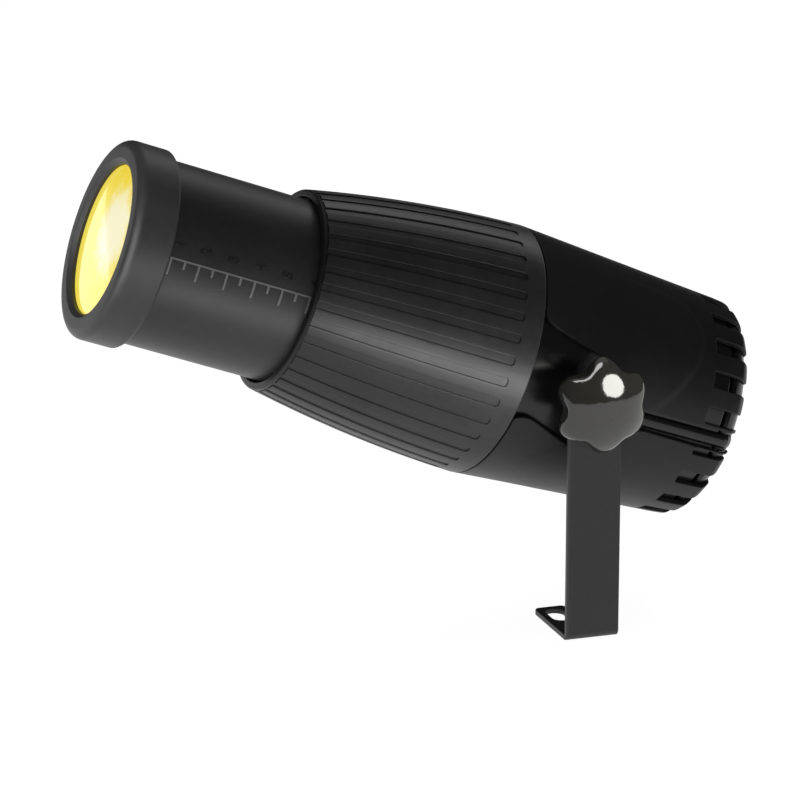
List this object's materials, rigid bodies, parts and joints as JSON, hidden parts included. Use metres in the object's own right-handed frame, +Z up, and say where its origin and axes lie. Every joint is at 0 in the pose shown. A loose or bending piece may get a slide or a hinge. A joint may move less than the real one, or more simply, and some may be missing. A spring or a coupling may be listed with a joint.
{
  "type": "follow spot",
  "caption": "Small LED follow spot: sliding lens tube with a scale, ribbed conical barrel, two-part vented rear shell, held by a clamp knob on a bent strip bracket.",
  "frame": {"origin": "middle of the flat seat under the bracket foot", "axes": "+Z up; the tilt axis runs along Y; the lens points along -X and 20 degrees up; the bracket arm and the knob are on the -Y side"},
  "size_m": [0.3012, 0.136, 0.2191],
  "materials": {
    "satin_black_plastic": "satin",
    "matte_shell_black": "matte",
    "gloss_black_core": "gloss",
    "gloss_black_knob": "gloss",
    "powder_coated_steel": "satin",
    "plain_aluminium": "satin",
    "zinc_plated_steel": "satin",
    "lens_glass": "polished",
    "emitter_phosphor": "matte",
    "circuit_board": "satin",
    "black_felt": "matte",
    "friction_fibre": "matte",
    "black_nylon": "satin",
    "seal_rubber": "matte"
  },
  "bodies": {
    "bracket": {"bracket_arm": "powder_coated_steel", "clamp_washer": "zinc_plated_steel"},
    "lamp_body": {"ribbed_barrel": "satin_black_plastic", "barrel_lip_ring": "satin_black_plastic", "felt_slide_ring": "black_felt", "upper_shell": "matte_shell_black", "lower_shell": "matte_shell_black", "core_housing": "gloss_black_core", "pivot_block": "gloss_black_core", "pivot_hub": "plain_aluminium", "friction_disc": "friction_fibre", "clamp_stud": "zinc_plated_steel", "gate_plate": "plain_aluminium", "condenser_lens": "lens_glass", "condenser_holder": "gloss_black_core", "led_emitter": "emitter_phosphor", "led_board": "circuit_board", "heat_sink": "plain_aluminium", "heat_sink_carrier": "plain_aluminium", "fan_frame": "gloss_black_core", "driver_board": "circuit_board", "rear_cap": "gloss_black_core", "cable_gland": "black_nylon", "gland_nut": "black_nylon", "gland_seal": "seal_rubber", "far_side_plug": "satin_black_plastic"},
    "lens_slide": {"lens_tube": "satin_black_plastic", "lens_bezel": "satin_black_plastic", "objective_lens": "lens_glass", "lens_retaining_ring": "plain_aluminium"},
    "knob": {"tilt_knob": "gloss_black_knob"},
    "fan": {"fan_rotor": "black_nylon"}
  },
  "joints": [
    {"name": "tilt", "type": "hinge", "parent": "bracket", "child": "lamp_body", "pos_m": [0.003, 0.0475, 0.107], "axis": [0, 1, 0], "range_deg": [-70, 70]},
    {"name": "focus_slide", "type": "slide", "parent": "lamp_body", "child": "lens_slide", "axis": [-0.9397, 0, 0.342], "range_m": [-0.059, 0]},
    {"name": "knob_turn", "type": "hinge", "parent": "lamp_body", "child": "knob", "pos_m": [0.003, -0.0234, 0.107], "axis": [0, -1, 0], "range_deg": [0, 360]},
    {"name": "fan_spin", "type": "hinge", "parent": "lamp_body", "child": "fan", "pos_m": [0.0472, 0.0475, 0.0909], "axis": [-0.9397, 0, 0.342], "continuous": true}
  ]
}
